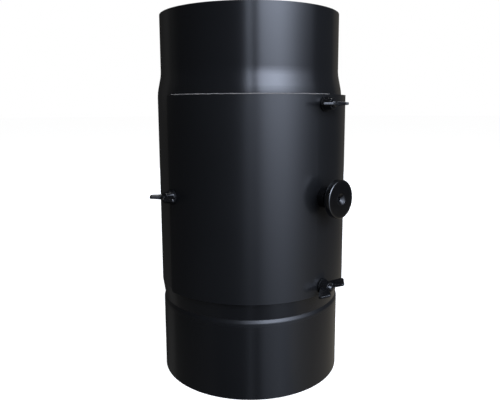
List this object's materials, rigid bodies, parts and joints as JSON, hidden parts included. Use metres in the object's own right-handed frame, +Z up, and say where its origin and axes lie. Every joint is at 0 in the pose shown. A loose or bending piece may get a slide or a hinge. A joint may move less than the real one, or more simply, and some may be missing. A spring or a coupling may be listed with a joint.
{
  "type": "stove pipe particulate filter",
  "caption": "Black stove pipe section with a socket below, a spigot on top and a wing-nutted service door; a knob turns the ceramic honeycomb filter inside.",
  "frame": {"origin": "on the pipe's axis at the rim of the lower socket", "axes": "+Z up the flue towards the spigot, -Y out of the knob"},
  "size_m": [0.1912, 0.1799, 0.3],
  "materials": {
    "stove_paint": "satin heat-resistant black paint",
    "black_fittings": "black coated steel",
    "knob_black": "turned, semi-gloss black coating",
    "screw_black": "black oxide steel",
    "turned_steel": "turned steel",
    "spring_steel": "drawn spring steel",
    "ring_steel": "rolled heat-resistant steel",
    "ceramic": "extruded unglazed ceramic",
    "fibre": "pressed mineral fibre"
  },
  "bodies": {
    "pipe": {"pipe_body": "stove_paint", "weld_studs": "black_fittings", "door_gasket": "fibre", "door_shell": "stove_paint", "door_bush": "black_fittings", "rear_socket": "stove_paint"},
    "filter": {"knob": "knob_black", "knob_screw": "screw_black", "friction_spring": "black_fittings", "filter_shaft": "turned_steel", "stop_pin": "turned_steel", "rear_pivot": "turned_steel", "front_saddle": "ring_steel", "rear_saddle": "ring_steel", "saddle_rivets": "turned_steel", "filter_ring": "ring_steel", "fibre_mat": "fibre", "filter_honeycomb": "ceramic", "snap_ring": "spring_steel"},
    "washer_top": {"washer_top": "black_fittings"},
    "wing_nut_top": {"wing_nut_top": "black_fittings"},
    "washer_bottom": {"washer_bottom": "black_fittings"},
    "wing_nut_bottom": {"wing_nut_bottom": "black_fittings"},
    "washer_left": {"washer_left": "black_fittings"},
    "wing_nut_left": {"wing_nut_left": "black_fittings"},
    "washer_right": {"washer_right": "black_fittings"},
    "wing_nut_right": {"wing_nut_right": "black_fittings"}
  },
  "joints": [
    {"name": "filter_turn", "type": "hinge", "parent": "pipe", "child": "filter", "pos_m": [0, 0, 0.157], "axis": [0, 1, 0], "range_deg": [0, 90]},
    {"name": "nut_run_top", "type": "slide", "parent": "pipe", "child": "washer_top", "axis": [0, -1, 0], "range_m": [0, 0.002]},
    {"name": "nut_turn_top", "type": "hinge", "parent": "washer_top", "child": "wing_nut_top", "pos_m": [0, -0.0823, 0.228], "axis": [0, -1, 0], "range_deg": [0, 900]},
    {"name": "nut_run_bottom", "type": "slide", "parent": "pipe", "child": "washer_bottom", "axis": [0, -1, 0], "range_m": [0, 0.002]},
    {"name": "nut_turn_bottom", "type": "hinge", "parent": "washer_bottom", "child": "wing_nut_bottom", "pos_m": [0, -0.0823, 0.086], "axis": [0, -1, 0], "range_deg": [0, 900]},
    {"name": "nut_run_left", "type": "slide", "parent": "pipe", "child": "washer_left", "axis": [-0.999, 0.0436, 0], "range_m": [0, 0.002]},
    {"name": "nut_turn_left", "type": "hinge", "parent": "washer_left", "child": "wing_nut_left", "pos_m": [-0.08222, 0.00359, 0.157], "axis": [-0.999, 0.0436, 0], "range_deg": [0, 900]},
    {"name": "nut_run_right", "type": "slide", "parent": "pipe", "child": "washer_right", "axis": [0.999, 0.0436, 0], "range_m": [0, 0.002]},
    {"name": "nut_turn_right", "type": "hinge", "parent": "washer_right", "child": "wing_nut_right", "pos_m": [0.08222, 0.00359, 0.157], "axis": [0.999, 0.0436, 0], "range_deg": [0, 900]}
  ],
  "couplings": [
    {"joint": "nut_run_top", "follows": "nut_turn_top", "m_per_rad": 0.00012732},
    {"joint": "nut_run_bottom", "follows": "nut_turn_bottom", "m_per_rad": 0.00012732},
    {"joint": "nut_run_left", "follows": "nut_turn_left", "m_per_rad": 0.00012732},
    {"joint": "nut_run_right", "follows": "nut_turn_right", "m_per_rad": 0.00012732}
  ]
}
